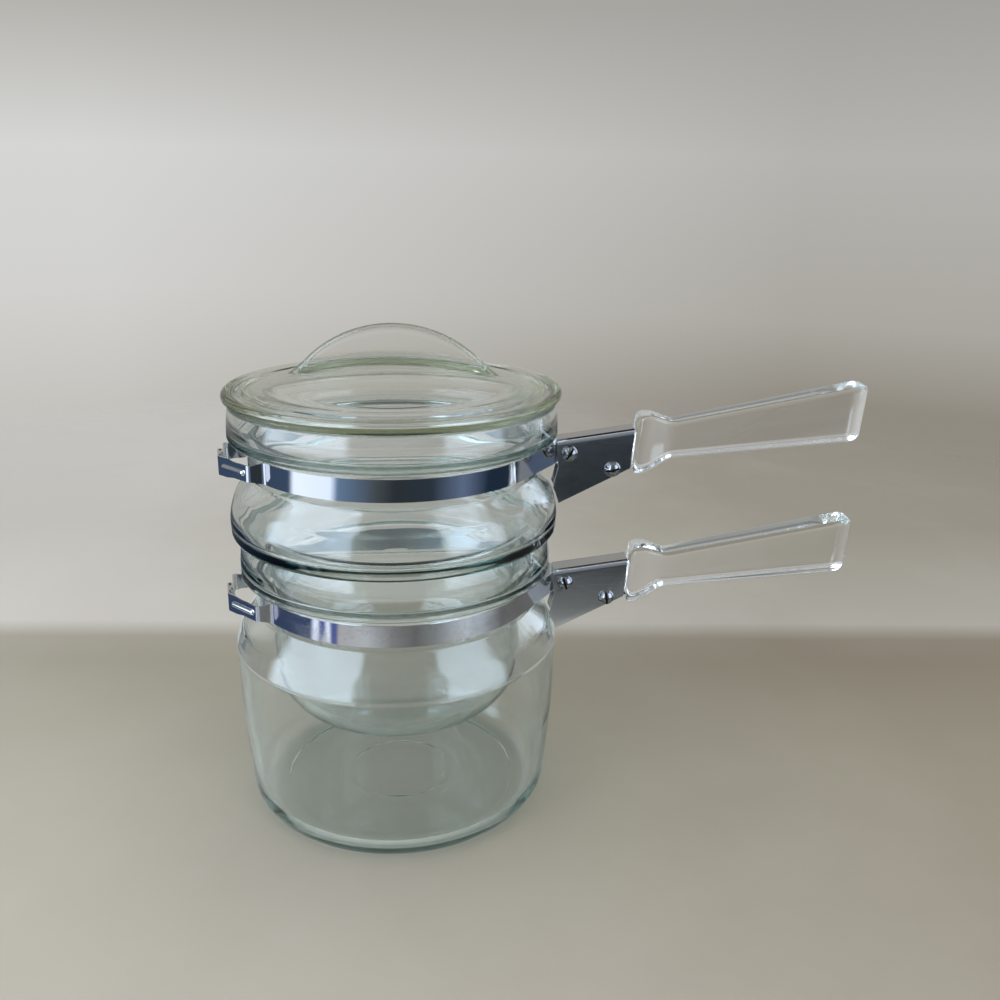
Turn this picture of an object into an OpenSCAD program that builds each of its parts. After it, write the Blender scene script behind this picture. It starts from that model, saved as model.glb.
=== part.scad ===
// Glass double boiler: a deep lower pot, an insert pot that hangs in its rim, and a glass lid.
// Each pot wears a two-piece steel band. A folded steel bracket holds a solid glass grip.
// The pot axis is Z, the floor is z = 0, and both grips point along +X.
// All sizes are in millimetres.

/* [Lower pot] */
// Height of the lower pot's rim above the floor
pot_h = 141.6; // [120:0.1:170]
// Radius of the rounded heel between base and wall
heel_r = 13; // [6:0.5:18]
// Outer radius of the wall where the heel ends
wall_r = 75; // [70:0.5:80]
// Outer radius at the shoulder ridge, the widest place
ridge_r = 79.3; // [76:0.1:84]
// Distance of the shoulder ridge below the middle of the band
ridge_down = 28.9; // [26:0.1:36]
// Wall thickness of the pots
wall_t = 3.8; // [3:0.1:5]
// Thickness of the floor
floor_t = 5; // [3:0.1:8]
// Radius of the ring moulded in the floor
disc_r = 26; // [15:0.5:40]

/* [Neck and rim] */
// Outer radius of the neck that the band grips
neck_r = 68.8; // [66:0.1:72]
// Height of the neck above the middle of the band
neck_up = 7.2; // [6:0.1:9]
// Depth of the neck below the middle of the band
neck_down = 8.6; // [7:0.1:11]
// Distance of the lower band's middle below its rim
low_band_down = 28.2; // [22:0.1:36]
// Distance of the upper band's middle below its rim
up_band_down = 25; // [20:0.1:32]
// How far the lower pot's rim flare stands in from the shoulder ridge
low_flare_in = 3.9; // [2:0.1:6]
// How far the insert's rim flare stands in from the bulge
up_flare_in = 0.9; // [0:0.1:3]
// Width of the flat seat on top of each rim
rim_flat = 1.2; // [0.6:0.1:2]

/* [Insert pot] */
// Height of the insert's rim above the lower pot's rim
insert_up = 63; // [56:0.1:74]
// Depth of the hanging bowl below the lower pot's rim
bowl_deep = 93; // [70:0.1:110]
// Gap between the bowl and the neck of the lower pot
bowl_play = 5; // [3:0.1:12]
// Radius of the bowl's rounded bottom corner
bowl_corner = 26; // [12:0.5:34]
// How far the bulge above the ledge stands in from the lower pot's ridge
bulge_in = 0.8; // [0:0.1:3]
// Thickness of the insert's bottom
bowl_t = 4.2; // [3:0.1:6]

/* [Lid] */
// How far the lid stands out over the insert's rim flare
lid_over = 1.4; // [0:0.1:4]
// Thickness of the lid's flange
flange_t = 6.2; // [4:0.1:8]
// Width of the rim outside the dome
lid_rim_w = 14; // [12:0.5:19]
// Rise of the dome above the flange
dome_rise = 10.4; // [6:0.1:16]
// Thickness of the dome
dome_t = 4.1; // [3:0.1:6]
// Height of the fin's top above the flange
fin_up = 28.5; // [22:0.1:38]
// Radius of the fin's arch
fin_arch_r = 58; // [50:0.5:75]
// Thickness of the fin
fin_t = 5.4; // [4:0.1:7]
// Depth of the rounded edge along the arch
fin_edge = 2.3; // [1:0.1:2.6]
// Half angle of the arch
fin_edge_a = 44; // [35:1:52]
// Length of the swept foot at each end of the arch
fin_foot_run = 7.2; // [5:0.1:10]
// Play of the ring below the lid that centres it in the rim
spigot_fit = 2.3; // [1:0.1:4]
// Depth of that ring
spigot_h = 2.6; // [1.5:0.1:4]

/* [Bands] */
// Height of the band strip
band_h = 10; // [8:0.1:12]
// Thickness of the band strip
band_t = 0.8; // [0.6:0.05:1.2]
// Gap between the band strip and the neck
band_gap = 0.02; // [0:0.01:0.1]
// How far the ear's tip stands out from the neck
ear_out = 10.2; // [7:0.1:16]
// Distance of the ear's front corner from its middle
ear_front = 11.9; // [10:0.1:16]
// Distance of the ear's rear corner from its middle
ear_back = 11.6; // [8:0.1:16]
// Height of the strip along the ear's arms
ear_h = 7.3; // [6:0.1:10]
// Height of the strip at the ear's tip
ear_tip_h = 8.7; // [7:0.1:10]
// Turn of the ear round the pot, from the point opposite the bracket
ear_turn = 14.7; // [0:0.1:20]
// Length of the ear's straight front arm
ear_arm = 21.5; // [18:0.5:25]
// Angle of the front arm from the ear's middle line
ear_spread = 56; // [50:0.5:60]
// Gap between the two folded hooks
hook_fit = 0.03; // [0:0.01:0.2]
// Radius of the stiffening bead pressed in the ear arms
bead_r = 1.5; // [1:0.1:2.5]
// How far the clamp tab's bend stands out from the neck
tab_out = 8.2; // [6:0.1:11]

/* [Bracket] */
// Upward tilt of bracket and grip
tilt = 9.1; // [0:0.1:12]
// Distance of the clamp screw from the bend of the tabs
clamp_out = 6.2; // [6:0.1:14]
// Width of the bracket over its side plates
bracket_w = 14; // [12:0.1:18]
// Thickness of the bracket sheet
sheet_t = 0.9; // [0.7:0.05:1.5]
// Outside radius of the folds along the top
fold_r = 2.4; // [1.5:0.1:4]
// Height of the top above the clamp screw
top_z = 7; // [6:0.1:10]
// Depth of the side plates below the clamp screw, at the pot
plate_deep = 23.9; // [20:0.1:28]
// Depth of the side plates below the clamp screw, at the grip
plate_end = 11.7; // [10:0.1:20]
// Lean of the bracket's end, and of the grip's collar and end, from square to the grip
end_lean = 13; // [0:0.5:18]
// Gap between the bracket and the glass of the pot
glass_gap = 0.6; // [0.3:0.1:2]

/* [Screws] */
// Shank diameter of the screws
screw_d = 4.16; // [3:0.01:5]
// Diameter of the round head
head_d = 7.9; // [6:0.1:10]
// Height of the round head
head_h = 2.9; // [2:0.1:4]
// Diameter of the holes the screws pass through
hole_d = 4.5; // [4.2:0.05:6]
// Bore of the nuts
nut_bore = 4.24; // [4.18:0.01:4.5]
// Width across the flats of the nuts
nut_af = 8.7; // [7:0.1:10]
// Thickness of the nuts
nut_t = 3.2; // [2:0.1:5]
// Length of thread that stands out of the nut
thread_out = 1.2; // [0.5:0.1:3]
// Width of the slot in each head
slot_w = 1.1; // [0.8:0.05:1.6]
// Depth of the slot in each head
slot_deep = 1.5; // [0.8:0.1:2]
// Turn of the slots as tightened: upper clamp, upper grip, lower clamp, lower grip
slot_turns = [50, 4, 98, 88]; // [0:1:180]

/* [Grip] */
// Distance of the grip screw from the clamp screw, along the bracket
grip_x = 19.3; // [18:0.1:26]
// Distance of the grip screw below the clamp screw
grip_z = 10.8; // [6:0.1:14]
// Start of the collar, from the clamp screw
collar_x = 31.9; // [29:0.1:40]
// Height of the collar
collar_h = 27.8; // [24:0.1:36]
// Length of the sweep from the collar down to the waist
collar_run = 19.6; // [16:0.2:26]
// Height of the waist behind the collar
waist_h = 17.8; // [15:0.1:26]
// Height of the grip at its end
end_h = 26.8; // [22:0.1:34]
// Far end of the grip, from the clamp screw
grip_end = 141; // [120:0.5:170]
// How far the middle of the grip lies below the clamp screw
grip_down = 1.4; // [0:0.1:3]
// Thickness of the grip at the waist
waist_w = 13; // [10:0.2:16]
// Thickness of the grip at its collar and at its end
collar_w = 16.4; // [14:0.2:20]

/* [Hidden] */
$fn = 96;
POT_FN = 180;
band_in = neck_r + band_gap;
band_mid = band_in + band_t / 2;
ear_x = neck_r + ear_out;
tab_x = neck_r + tab_out;
clamp_x = tab_x + clamp_out;
tab_y = bracket_w / 2 - sheet_t - band_t / 2;
rim_round = (wall_t - rim_flat) / 2;
flare_lip = 0.9;
low_band_z = pot_h - low_band_down;
ridge_z = low_band_z - ridge_down;
low_flare_r = ridge_r - low_flare_in;
bowl_z = pot_h - bowl_deep;
bowl_r = neck_r - wall_t - bowl_play;
bulge_r = ridge_r - bulge_in;
insert_h = pot_h + insert_up;
up_band_z = insert_h - up_band_down;
up_flare_r = bulge_r - up_flare_in;
lid_r = up_flare_r + lid_over;
dome_half = lid_r - lid_rim_w;
spigot_r = up_flare_r - flare_lip - wall_t - spigot_fit;
ledge_z = pot_h;
rim_seat = insert_h;
lid_top = rim_seat + flange_t;
dome_top = lid_top + dome_rise;
fin_top = lid_top + fin_up;
plate_y = bracket_w / 2;
waist_x = collar_x + collar_run;
through = 2 * (collar_w + bracket_w);

// Points of an arc about c, from angle a0 to a1
function arc(c, r, a0, a1, n = 8) =
  [for (i = [0:n]) let (a = a0 + (a1 - a0) * i / n) c + r * [cos(a), sin(a)]];

function unit(v) = v / norm(v);

function turn(p) = [for (i = [len(p) - 1:-1:0]) p[i]];

// Shortest signed angle from a to b
function swing(a, b) = (b - a) - 360 * round((b - a) / 360);

// Rounded corner at b between the lines from a and to c
function corner(a, b, c, r, n = 5) =
  let (
    u = unit(a - b),
    v = unit(c - b),
    half = acos(u * v) / 2,
    m = b + unit(u + v) * r / sin(half),
    s = b + u * r / tan(half),
    e = b + v * r / tan(half),
    a0 = atan2(s[1] - m[1], s[0] - m[0]),
    da = swing(a0, atan2(e[1] - m[1], e[0] - m[0]))
  )
  [for (i = [0:n]) m + r * [cos(a0 + da * i / n), sin(a0 + da * i / n)]];

// Direction across a path at its point i
function across(p, i) =
  let (d = unit(p[min(i + 1, len(p) - 1)] - p[max(i - 1, 0)]))
  [-d[1], d[0]];

function beside(p, h) = [for (i = [0:len(p) - 1]) p[i] + h * across(p, i)];

module strip(p, t) {
  polygon(concat(beside(p, t / 2), turn(beside(p, -t / 2))));
}

module spun(p) {
  rotate_extrude($fn = POT_FN) polygon(p);
}

function flat(q) = [q[0], q[1]];

function side(p, i) = norm(flat(p[i + 1]) - flat(p[i]));

// How far an outline turns at its point i
function bend(p, i) =
  180 - acos(unit(flat(p[i - 1]) - flat(p[i])) * unit(flat(p[i + 1]) - flat(p[i])));

// Length that the rounding at point i takes from the sides beside it
function taken(p, i) = p[i][2] == 0 ? 0 : p[i][2] * tan(bend(p, i) / 2);

// Share of its rounding that point i has room for between its neighbours
function room(p, i) =
  min(
    1,
    side(p, i - 1) / (taken(p, i - 1) + taken(p, i)),
    side(p, i) / (taken(p, i) + taken(p, i + 1))
  );

// Rounds the corners of an outline of [radius, height, rounding] points
function rounded(p) = [
  for (i = [0:len(p) - 1])
    each (p[i][2] == 0
      ? [flat(p[i])]
      : corner(
          flat(p[i - 1]), flat(p[i]), flat(p[i + 1]),
          p[i][2] * room(p, i), max(2, ceil(bend(p, i) / 9))
        ))
];

// Neck and flared rim. zb is the band's height, zt the rim's top, fr the flare's radius
function neck_out(zb, zt, fr) = [
  [neck_r, zb - neck_down, 2.2],
  [neck_r, zb + neck_up, 0.9],
  [fr - 0.5, zb + neck_up + 1.6, 2.4],
  [fr, (zb + neck_up + zt) / 2, 60],
  [fr - flare_lip, zt, rim_round]
];

// Inside of the same stretch, from the rim down
function neck_in(zb, zt, fr) = [
  [fr - flare_lip - wall_t, zt, rim_round],
  [fr - wall_t + 0.1, (zb + neck_up + zt) / 2 + 1.4, 18],
  [fr - wall_t - 0.7, zb + neck_up + 4.6, 2.2],
  [neck_r - wall_t, zb + neck_up + 2.4, 2.6],
  [neck_r - wall_t, zb - neck_down - 1.6, 3.2]
];

wall_mid_z = ridge_z * 0.57;

module pot_solid() {
  spun(rounded(concat(
    [[0, 0, 0], [wall_r - 0.7, 0, heel_r]],
    [[ridge_r - 0.7, wall_mid_z, 240], [ridge_r, ridge_z + 1.8, 2.4]],
    [[ridge_r - 3, ridge_z + 10.5, 13]],
    neck_out(low_band_z, pot_h, low_flare_r),
    neck_in(low_band_z, pot_h, low_flare_r),
    [[ridge_r - 3.4 - wall_t, ridge_z + 9, 10], [ridge_r - wall_t - 0.1, ridge_z - 1, 5]],
    [[ridge_r - 0.7 - wall_t, wall_mid_z, 230], [wall_r - wall_t - 0.5, floor_t, heel_r - 2.6]],
    [[disc_r + 1.4, floor_t, 0], [disc_r + 0.5, floor_t + 0.5, 0]],
    [[disc_r - 0.5, floor_t + 0.5, 0], [disc_r - 1.4, floor_t, 0], [0, floor_t, 0]]
  )));
}

module insert_solid() {
  spun(rounded(concat(
    [[0, bowl_z, 0], [bowl_r, bowl_z, bowl_corner], [bowl_r + 1.4, ledge_z, 4.6]],
    [[bulge_r - 0.5, ledge_z, 4.8], [bulge_r, ledge_z + 11, 26]],
    [[bulge_r - 2.9, ledge_z + 20, 12]],
    neck_out(up_band_z, insert_h, up_flare_r),
    neck_in(up_band_z, insert_h, up_flare_r),
    [[bulge_r - 3.3 - wall_t, ledge_z + 19, 9], [bulge_r - wall_t - 0.1, ledge_z + 11, 13]],
    [[bulge_r - wall_t - 0.6, ledge_z + wall_t, 3.6]],
    [[bowl_r + 1.5 - wall_t, ledge_z + wall_t, 7.6]],
    [[bowl_r - wall_t, bowl_z + bowl_t, bowl_corner - wall_t], [0, bowl_z + bowl_t, 0]]
  )));
}

// Radius of the cap that makes the dome
dome_r = (pow(dome_half, 2) + pow(dome_rise, 2)) / (2 * dome_rise);

// Height of the dome's surface at distance x from the axis
function dome_z(x) = dome_top - dome_r + sqrt(pow(dome_r, 2) - x * x);

// Points of the dome, drop below its surface, out to distance to
function dome_arc(drop, to, n) =
  let (half = asin(to / dome_r))
  [for (i = [0:n]) let (a = half * i / n)
    [(dome_r - drop) * sin(a), dome_top - dome_r + (dome_r - drop) * cos(a)]];

module lid_shell() {
  spun(concat(
    dome_arc(0, dome_half - 2, 14),
    rounded([
      [dome_half - 2, dome_z(dome_half - 2), 0],
      [dome_half + 1.2, lid_top - 0.9, 1.8],
      [dome_half + 3.8, lid_top + 0.1, 1.4],
      [dome_half + 6, lid_top - 0.7, 1.4],
      [dome_half + 8.4, lid_top, 1.6],
      [lid_r, lid_top, 2.8],
      [lid_r, rim_seat, 2.9],
      [spigot_r, rim_seat, 0],
      [spigot_r, rim_seat - spigot_h, 1],
      [spigot_r - 3, rim_seat - spigot_h, 1.2],
      [spigot_r - 4.2, rim_seat + 1.4, 1.6],
      [dome_half - 5.5, dome_z(dome_half - 5.5) - dome_t, 0]
    ]),
    turn(dome_arc(dome_t, dome_half - 6.5, 12))
  ));
}

// The arch, and the swept foot that carries it into the dome
fin_mid_z = fin_top - fin_arch_r;
fin_end = fin_arch_r * [sin(fin_edge_a), cos(fin_edge_a)] + [0, fin_mid_z];
fin_foot = fin_end + [fin_foot_run, -fin_foot_run * tan(fin_edge_a)];
fin_out = unit([10, dome_z(fin_foot[0] + 10) - 0.2 - fin_foot[1]]);
foot_bend = atan2(fin_out[1], fin_out[0]) + fin_edge_a;
foot_r = norm(fin_foot - fin_end) / tan(foot_bend / 2);
foot_mid = fin_end + foot_r * [sin(fin_edge_a), cos(fin_edge_a)];

// Outline of the fin, each entry a point of the edge and the direction out of it
function foot_half() =
  [for (i = [1:7]) let (a = 270 - fin_edge_a + foot_bend * i / 7, d = [cos(a), sin(a)])
    [foot_mid + foot_r * d, -d]];

fin_line = concat(
  [for (q = turn(foot_half())) [[-q[0][0], q[0][1]], [-q[1][0], q[1][1]]]],
  [for (i = [-11:11]) let (d = [sin(fin_edge_a * i / 11), cos(fin_edge_a * i / 11)])
    [fin_arch_r * d + [0, fin_mid_z], d]],
  foot_half()
);

// Slice of the fin at one entry: base, side, rounded edge, side, base
function fin_slice(q) =
  let (
    low = q[0] - q[1] * fin_edge,
    base = min(dome_z(abs(low[0])) - dome_t / 2, low[1] - 0.3)
  )
  concat(
    [[low[0], -fin_t / 2, base]],
    [for (k = [-4:4]) let (p = q[0] - q[1] * fin_edge * (1 - cos(22.5 * k)))
      [p[0], fin_t / 2 * sin(22.5 * k), p[1]]],
    [[low[0], fin_t / 2, base]]
  );

module fin() {
  n = 11;
  m = len(fin_line);
  polyhedron(
    points = [for (q = fin_line) each fin_slice(q)],
    faces = concat(
      [[for (i = [n - 1:-1:0]) i]],
      [for (j = [0:m - 2]) for (i = [0:n - 1])
        [j * n + i, j * n + (i + 1) % n, (j + 1) * n + (i + 1) % n, (j + 1) * n + i]],
      [[for (i = [0:n - 1]) (m - 1) * n + i]]
    )
  );
}

module lid_solid() {
  lid_shell();
  fin();
}

layer = band_t + hook_fit;

// Corner of the ear on side s. The front strip passes outside the folds
function ear_at(s) = s < 0 ? [-ear_x - 3 * layer, -ear_front] : [-ear_x, ear_back];

function ring_at(a) = band_mid * [cos(a), sin(a)];

// Angle at which a straight strip from q meets the ring on side s
function meets(q, s) = atan2(q[1], q[0]) + s * acos(band_mid / norm(q));

function tab_at(s) = [tab_x, s * tab_y];

function tab_part(s) = concat(
  [[clamp_x + 7, s * tab_y]],
  corner([clamp_x + 7, s * tab_y], tab_at(s), ring_at(meets(tab_at(s), s)), 1.8, 5)
);

// The ear's own frame has its tip square to -X. This turns its points to their place
function ear_turned(p) =
  [for (q = p) [q[0] * cos(ear_turn) - q[1] * sin(ear_turn),
                q[0] * sin(ear_turn) + q[1] * cos(ear_turn)]];

// Direction of the front arm out to the ear's tip, and its foot beside the ring
arm_out = [-cos(ear_spread), sin(ear_spread)];
arm_foot = ear_at(-1) - ear_arm * arm_out;

// Where the ring ends on side s, in the ear's own frame
ring_end_rear = 177 - asin((ear_back + 1) / band_mid);
ring_end_front = atan2(arm_foot[1], arm_foot[0]) + 4.5;

function ring_part(s) =
  arc(
    [0, 0], band_mid, meets(tab_at(s), s),
    ear_turn + (s < 0 ? ring_end_front : ring_end_rear), 56
  );

// Point that the strip reaches when it runs straight on by t from the ring at angle a
function straight_on(a, s, t) = ring_at(a) + t * s * [-sin(a), cos(a)];

// The rear strip turns square out to the ear's tip
rear_side =
  let (q = straight_on(ring_end_rear, 1, band_mid * tan(3)))
  concat(
    corner(ring_at(ring_end_rear), q, ear_at(1), 2.2, 5),
    corner(q, ear_at(1), [-ear_x, 0], 2.2, 6)
  );

// The front strip steps out to its straight arm
front_side =
  let (q = straight_on(ring_end_front, -1, 2.3))
  concat(
    corner(ring_at(ring_end_front), q, arm_foot, 3.2, 5),
    corner(q, arm_foot, ear_at(-1), 3.2, 5),
    corner(arm_foot, ear_at(-1), [ear_at(-1)[0], 0], 2.2, 5)
  );

// The rear strip crosses the ear's tip and folds back outwards
function rear_path() = concat(
  tab_part(1),
  ring_part(1),
  ear_turned(concat(
    rear_side,
    arc([-ear_x - layer, 4.2 - ear_front], layer, 0, -180, 8),
    [[-ear_x - 2 * layer, 9 - ear_front]]
  ))
);

// The front strip passes outside that fold and hooks back into it
function front_path() = concat(
  tab_part(-1),
  ring_part(-1),
  ear_turned(concat(
    front_side,
    arc([-ear_x - 2 * layer, 11.6 - ear_front], layer, 180, 0, 8),
    [[-ear_x - layer, 5.6 - ear_front]]
  ))
);

// Side view that narrows the strip along the arms and widens it again at the ear's tip
module strip_side() {
  half = [
    [clamp_x + 8, band_h / 2], [7 - neck_r, band_h / 2], [0.2 - neck_r, ear_h / 2],
    [3.4 - ear_x, ear_h / 2], [0.6 - ear_x, ear_tip_h / 2], [-ear_x - 8, ear_tip_h / 2]
  ];
  polygon(concat(half, [for (q = turn(half)) [q[0], -q[1]]]));
}

// Bead pressed outwards along the front arm
module bead(r) {
  a = arm_foot + 3.6 * arm_out;
  reach = ear_arm - 8;
  translate([a[0], a[1], 0])
    rotate([0, 0, atan2(arm_out[1], arm_out[0])])
      rotate([0, 90, 0])
        rotate_extrude($fn = 28)
          polygon(concat(arc([0, 0], r, -90, 0, 4), arc([0, reach], r, 0, 90, 4)));
}

// Plan area on the outside of the front arm
module outside_arm() {
  p = arm_foot;
  q = ear_at(-1);
  n = [-arm_out[1], arm_out[0]];
  translate([0, 0, -5])
    linear_extrude(10)
      polygon([p + n * band_t * 0.3, q + n * band_t * 0.3, q + n * 6, p + n * 6]);
}

module band_half(s) {
  difference() {
    union() {
      intersection() {
        linear_extrude(band_h + 4, center = true)
          strip(s < 0 ? front_path() : rear_path(), band_t);
        rotate([0, 0, ear_turn])
          translate([0, 120, 0]) rotate([90, 0, 0]) linear_extrude(240) strip_side();
      }
      if (s < 0)
        rotate([0, 0, ear_turn])
          intersection() {
            bead(bead_r);
            outside_arm();
          }
    }
    if (s < 0)
      rotate([0, 0, ear_turn]) bead(bead_r - band_t);
    translate([clamp_x, 0, 0])
      rotate([90, 0, 0]) cylinder(d = hole_d, h = through, center = true, $fn = 48);
  }
}

// Places a part of the bracket or grip. Its origin is the clamp screw's middle
module on_bracket(zb) {
  translate([clamp_x, 0, zb]) rotate([0, -tilt, 0]) children();
}

module fold_shape(w, r, down) {
  translate([-w / 2 + r, -down]) square([w - 2 * r, down + top_z - (plate_y - w / 2)]);
  translate([-w / 2, -down]) square([w, down + top_z - (plate_y - w / 2) - r]);
  for (s = [-1, 1])
    translate([s * (w / 2 - r), top_z - (plate_y - w / 2) - r]) circle(r = r, $fn = 40);
}

module channel() {
  rotate([90, 0, 90])
    translate([0, 0, -14])
      linear_extrude(60)
        difference() {
          fold_shape(bracket_w, fold_r, 40);
          fold_shape(bracket_w - 2 * sheet_t, fold_r - sheet_t, 50);
        }
}

// Distance of the leaning end of the bracket from the clamp screw, at height z
function bracket_end(z) = collar_x - 1.4 + z * tan(end_lean);

module bracket_side() {
  polygon([
    [-4.4, top_z + 4], [bracket_end(top_z + 4), top_z + 4],
    [bracket_end(-plate_end), -plate_end], [-8.3, -plate_deep], [-10, 8.4 - plate_deep], [-6.2, -6]
  ]);
}

module screw_holes(d, h) {
  for (q = [[0, 0], [grip_x, -grip_z]])
    translate([q[0], 0, q[1]])
      rotate([90, 0, 0]) cylinder(d = d, h = h, center = true, $fn = 48);
}

module bracket(zb, low) {
  difference() {
    on_bracket(zb) {
      difference() {
        intersection() {
          channel();
          translate([0, 20, 0]) rotate([90, 0, 0]) linear_extrude(40) bracket_side();
        }
        screw_holes(hole_d, through);
      }
    }
    // Clearance round the glass that the plates follow
    if (low)
      spun([[0, 60], [ridge_r + glass_gap, 60], [ridge_r + glass_gap, ridge_z + 2],
            [ridge_r - 1.4 + glass_gap, ridge_z + 7], [ridge_r - 4.4 + glass_gap, ridge_z + 13],
            [ridge_r - 8 + glass_gap, ridge_z + 18], [0, ridge_z + 18]]);
    else
      spun([[0, ledge_z], [bulge_r - 3 + glass_gap, ledge_z], [bulge_r + glass_gap, ledge_z + 6],
            [bulge_r + glass_gap, ledge_z + 13], [bulge_r - 2 + glass_gap, ledge_z + 19],
            [bulge_r - 7 + glass_gap, ledge_z + 27], [0, ledge_z + 27]]);
  }
}

// Round head with a slot turned by a degrees. The head rests on the near plate
module screw(a) {
  cap = (pow(head_d / 2, 2) + pow(head_h, 2)) / (2 * head_h);
  rotate([90, 0, 0]) {
    difference() {
      union() {
        translate([0, 0, plate_y])
          intersection() {
            translate([0, 0, head_h - cap]) sphere(r = cap, $fn = 64);
            cylinder(d = head_d + 2, h = head_h + 1, $fn = 64);
          }
        translate([0, 0, -plate_y - nut_t - thread_out])
          cylinder(d = screw_d, h = 2 * plate_y + nut_t + thread_out + 0.5, $fn = 48);
      }
      translate([0, 0, plate_y + head_h - slot_deep + 2])
        rotate([0, 0, a]) cube([head_d + 2, slot_w, 4], center = true);
    }
  }
}

module nut() {
  translate([0, plate_y, 0])
    rotate([-90, 0, 0])
      difference() {
        intersection() {
          cylinder(d = nut_af / cos(30), h = nut_t, $fn = 6);
          translate([0, 0, -0.9])
            cylinder(d1 = nut_af / cos(30) + 3.4, d2 = nut_af + 0.2, h = nut_t + 0.9, $fn = 48);
        }
        translate([0, 0, -1]) cylinder(d = nut_bore, h = nut_t + 2, $fn = 48);
      }
}

// Smooth step from 0 to 1
function ease(t) = let (u = min(1, max(0, t))) u * u * (3 - 2 * u);

// Height and thickness of the grip at distance x
function grip_h(x) =
  x < waist_x
    ? collar_h + (waist_h - collar_h) * ease((x - collar_x - 4) / (collar_run - 4.6))
    : waist_h + (end_h - waist_h) * (x - waist_x) / (grip_end - waist_x);

function grip_w(x) =
  x < waist_x
    ? collar_w + (waist_w - collar_w) * ease((x - collar_x - 3) / (collar_run - 3.6))
    : waist_w + (collar_w - waist_w) * (x - waist_x) / (grip_end - waist_x);

// Rounded oblong section at x, made narrower by ky and lower by kz on each side, and leaning
function section(x, ky, kz) =
  let (h = grip_h(x) / 2 - kz, w = grip_w(x) / 2 - ky, r = min(3.2, w - 0.4))
  [for (c = [[1, 1, 0], [-1, 1, 90], [-1, -1, 180], [1, -1, 270]])
    for (i = [0:4])
      let (a = c[2] + 90 * i / 4, z = c[1] * (h - r) + r * sin(a) - grip_down)
      [x + z * tan(end_lean), c[0] * (w - r) + r * cos(a), z]];

// Distance along the grip and how much narrower and lower its section is there
grip_steps = concat(
  [[collar_x, 2.2, 2.2], [collar_x + 0.7, 0.9, 0.9], [collar_x + 2, 0.15, 0.15]],
  [for (i = [0:9]) [collar_x + 3.4 + i * (collar_run - 3.4) / 9, 0, 0]],
  [for (i = [1:5]) [waist_x + i * (grip_end - waist_x - 6) / 5, 0, 0]],
  [for (i = [1:4]) let (a = 20 * i)
    [grip_end - 6 + 6 * sin(a), 5.2 * (1 - cos(a)), 3.6 * (1 - cos(max(0, a - 10)))]],
  [[grip_end, 5, 3.3]]
);

module grip_body() {
  n = 20;
  m = len(grip_steps);
  polyhedron(
    points = [for (g = grip_steps) for (q = section(g[0], g[1], g[2])) q],
    faces = concat(
      [[for (i = [0:n - 1]) i]],
      [for (j = [0:m - 2]) for (i = [0:n - 1])
        [j * n + i, (j + 1) * n + i, (j + 1) * n + (i + 1) % n, j * n + (i + 1) % n]],
      [[for (i = [n - 1:-1:0]) (m - 1) * n + i]]
    )
  );
}

module tongue() {
  rotate([90, 0, 0])
    linear_extrude(bracket_w - 2 * sheet_t, center = true)
      polygon([
        [grip_x - 8.2, top_z - sheet_t - 1.4], [collar_x + 3, top_z - sheet_t - 1.4],
        [collar_x + 3, 2.1 - plate_end], [collar_x - 5.4, 0.2 - plate_end],
        [grip_x - 8.2, -grip_z - 5.8]
      ]);
}

module grip() {
  difference() {
    union() {
      grip_body();
      tongue();
    }
    translate([grip_x, 0, -grip_z])
      rotate([90, 0, 0]) cylinder(d = hole_d + 0.3, h = through, center = true, $fn = 48);
  }
}

// Named parts
module lid_glass() color([0.86, 0.88, 0.8]) lid_solid();

module upper_insert_glass() color([0.85, 0.9, 0.88]) insert_solid();

module upper_band_front() color([0.72, 0.74, 0.77]) translate([0, 0, up_band_z]) band_half(-1);

module upper_band_rear() color([0.7, 0.72, 0.75]) translate([0, 0, up_band_z]) band_half(1);

module upper_bracket() color([0.62, 0.64, 0.68]) bracket(up_band_z, false);

module upper_clamp_screw()
  color([0.8, 0.8, 0.82]) on_bracket(up_band_z) screw(slot_turns[0]);

module upper_clamp_nut() color([0.66, 0.66, 0.68]) on_bracket(up_band_z) nut();

module upper_grip_screw()
  color([0.8, 0.8, 0.82])
    on_bracket(up_band_z) translate([grip_x, 0, -grip_z]) screw(slot_turns[1]);

module upper_grip_nut()
  color([0.66, 0.66, 0.68])
    on_bracket(up_band_z) translate([grip_x, 0, -grip_z]) nut();

module upper_grip_glass() color([0.9, 0.92, 0.92]) on_bracket(up_band_z) grip();

module lower_pot_glass() color([0.8, 0.86, 0.84]) pot_solid();

module lower_band_front() color([0.72, 0.74, 0.77]) translate([0, 0, low_band_z]) band_half(-1);

module lower_band_rear() color([0.7, 0.72, 0.75]) translate([0, 0, low_band_z]) band_half(1);

module lower_bracket() color([0.62, 0.64, 0.68]) bracket(low_band_z, true);

module lower_clamp_screw()
  color([0.8, 0.8, 0.82]) on_bracket(low_band_z) screw(slot_turns[2]);

module lower_clamp_nut() color([0.66, 0.66, 0.68]) on_bracket(low_band_z) nut();

module lower_grip_screw()
  color([0.8, 0.8, 0.82])
    on_bracket(low_band_z) translate([grip_x, 0, -grip_z]) screw(slot_turns[3]);

module lower_grip_nut()
  color([0.66, 0.66, 0.68])
    on_bracket(low_band_z) translate([grip_x, 0, -grip_z]) nut();

module lower_grip_glass() color([0.9, 0.92, 0.92]) on_bracket(low_band_z) grip();

lid_glass();
upper_insert_glass();
upper_band_front();
upper_band_rear();
upper_bracket();
upper_clamp_screw();
upper_clamp_nut();
upper_grip_screw();
upper_grip_nut();
upper_grip_glass();
lower_pot_glass();
lower_band_front();
lower_band_rear();
lower_bracket();
lower_clamp_screw();
lower_clamp_nut();
lower_grip_screw();
lower_grip_nut();
lower_grip_glass();
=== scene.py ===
"""Looks of the glass double boiler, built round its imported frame."""

import math

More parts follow.
